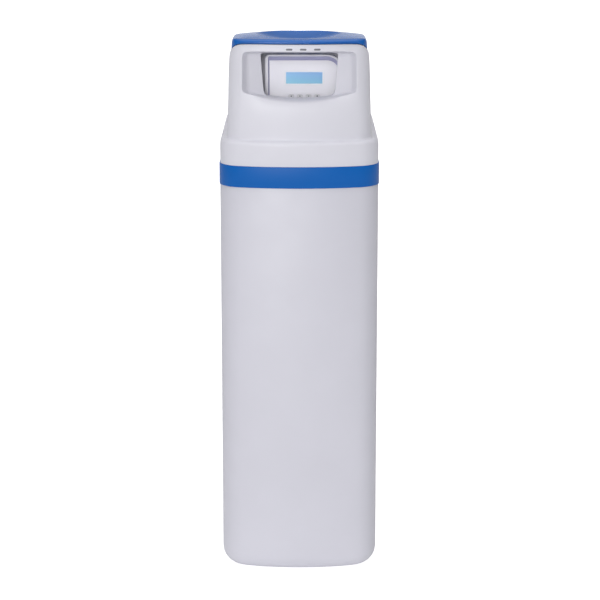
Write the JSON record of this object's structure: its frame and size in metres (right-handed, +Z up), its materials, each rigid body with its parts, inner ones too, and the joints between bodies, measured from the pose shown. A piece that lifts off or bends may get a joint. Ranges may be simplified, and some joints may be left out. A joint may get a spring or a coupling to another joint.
{
  "type": "cabinet water softener",
  "caption": "Tall cabinet water softener: bowed white brine tank, blue trim ring, white hood with a display window, hinged blue salt lid, and a motor-driven valve, bypass and float inside.",
  "frame": {"origin": "on the floor, at the centre of the tank's footprint", "axes": "+X to the right as seen from the front, +Y to the back, +Z up"},
  "size_m": [0.325, 0.5325, 1.1129],
  "materials": {
    "white_shell": "satin moulded white",
    "blue_trim": "satin moulded blue",
    "head_plastic": "satin moulded white",
    "button_plastic": "satin",
    "display_blue": "lit display",
    "display_glass": "clear",
    "pale_plastic": "natural moulded",
    "black_plastic": "moulded black",
    "rubber_seal": "matt",
    "vessel_wrap": "wound fibre, painted",
    "resin_beads": "loose beads",
    "steel": "drawn",
    "brass_gear": "cut",
    "piston_plastic": "smooth",
    "board_green": "solder mask",
    "turbine_blue": "moulded",
    "handle_red": "moulded red"
  },
  "bodies": {
    "cabinet": {"brine_tank": "white_shell", "trim_ring": "blue_trim", "head_cover": "head_plastic", "keypad_strip": "head_plastic", "display_frame": "head_plastic", "display_module": "display_blue", "display_window": "display_glass", "salt_grid": "pale_plastic", "brine_well": "pale_plastic", "safety_valve": "pale_plastic", "riser_tube": "pale_plastic", "lower_basket": "pale_plastic", "upper_basket": "pale_plastic", "seal_stack": "pale_plastic", "drive_bracket": "pale_plastic", "brine_elbow": "pale_plastic", "drain_elbow": "pale_plastic", "turbine_cage": "pale_plastic", "draw_tube": "pale_plastic", "vessel_boot": "black_plastic", "valve_body": "black_plastic", "end_cap": "black_plastic", "injector_cap": "black_plastic", "bypass_body": "black_plastic", "rotor_caps": "black_plastic", "port_nuts": "black_plastic", "power_socket": "black_plastic", "well_cap": "black_plastic", "overflow_elbow": "black_plastic", "overflow_nut": "black_plastic", "brine_line": "black_plastic", "neck_seal": "rubber_seal", "stack_seals": "rubber_seal", "overflow_gasket": "rubber_seal", "resin_vessel": "vessel_wrap", "resin_bed": "resin_beads", "drive_motor": "steel", "cover_screws": "steel", "circuit_board": "board_green"},
    "hood": {"hood_shell": "white_shell", "hinge_pins": "steel"},
    "lid": {"salt_lid": "blue_trim"},
    "float": {"float_rod": "pale_plastic", "float_bulb": "black_plastic"},
    "piston": {"piston": "piston_plastic"},
    "main_gear": {"main_gear": "pale_plastic", "lead_screw": "steel"},
    "reduction_gear": {"reduction_gear": "pale_plastic"},
    "motor_pinion": {"motor_pinion": "brass_gear"},
    "turbine": {"flow_turbine": "turbine_blue"},
    "inlet_valve": {"inlet_rotor": "pale_plastic", "inlet_handle": "handle_red"},
    "outlet_valve": {"outlet_rotor": "pale_plastic", "outlet_handle": "handle_red"},
    "button_1": {"button_1": "button_plastic"},
    "button_2": {"button_2": "button_plastic"},
    "button_3": {"button_3": "button_plastic"},
    "button_4": {"button_4": "button_plastic"}
  },
  "joints": [
    {"name": "hood_lift", "type": "slide", "parent": "cabinet", "child": "hood", "axis": [0, 0, 1], "range_m": [0, 0.3]},
    {"name": "lid_hinge", "type": "hinge", "parent": "hood", "child": "lid", "pos_m": [0, 0.2335, 1.034], "axis": [-1, 0, 0], "range_deg": [0, 105]},
    {"name": "float_lift", "type": "slide", "parent": "cabinet", "child": "float", "axis": [0, 0, 1], "range_m": [0, 0.012]},
    {"name": "main_gear_spin", "type": "hinge", "parent": "cabinet", "child": "main_gear", "pos_m": [0.01, -0.135, 0.976], "axis": [0, -1, 0], "range_deg": [0, 2160]},
    {"name": "reduction_gear_spin", "type": "hinge", "parent": "cabinet", "child": "reduction_gear", "pos_m": [0.04195, -0.135, 0.99837], "axis": [0, -1, 0], "range_deg": [-9875, 0]},
    {"name": "motor_pinion_spin", "type": "hinge", "parent": "cabinet", "child": "motor_pinion", "pos_m": [0.05495, -0.1405, 1.02089], "axis": [0, -1, 0], "range_deg": [0, 32915]},
    {"name": "piston_slide", "type": "slide", "parent": "cabinet", "child": "piston", "axis": [0, 1, 0], "range_m": [0, 0.024]},
    {"name": "turbine_spin", "type": "hinge", "parent": "cabinet", "child": "turbine", "pos_m": [0.051, -0.0035, 0.953], "axis": [0, 1, 0], "continuous": true},
    {"name": "inlet_turn", "type": "hinge", "parent": "cabinet", "child": "inlet_valve", "pos_m": [-0.031, 0.054, 0.953], "axis": [0, 0, 1], "range_deg": [0, 90]},
    {"name": "outlet_turn", "type": "hinge", "parent": "cabinet", "child": "outlet_valve", "pos_m": [0.051, 0.054, 0.953], "axis": [0, 0, 1], "range_deg": [-90, 0]},
    {"name": "button_1_press", "type": "slide", "parent": "cabinet", "child": "button_1", "axis": [0, 1, 0], "range_m": [0, 0.0008], "stiffness_N_per_m": 1500},
    {"name": "button_2_press", "type": "slide", "parent": "cabinet", "child": "button_2", "axis": [0, 1, 0], "range_m": [0, 0.0008], "stiffness_N_per_m": 1500},
    {"name": "button_3_press", "type": "slide", "parent": "cabinet", "child": "button_3", "axis": [0, 1, 0], "range_m": [0, 0.0008], "stiffness_N_per_m": 1500},
    {"name": "button_4_press", "type": "slide", "parent": "cabinet", "child": "button_4", "axis": [0, 1, 0], "range_m": [0, 0.0008], "stiffness_N_per_m": 1500}
  ],
  "couplings": [
    {"joint": "reduction_gear_spin", "follows": "main_gear_spin", "ratio": -4.5714},
    {"joint": "motor_pinion_spin", "follows": "main_gear_spin", "ratio": 15.238},
    {"joint": "piston_slide", "follows": "main_gear_spin", "m_per_rad": 0.0006366}
  ]
}
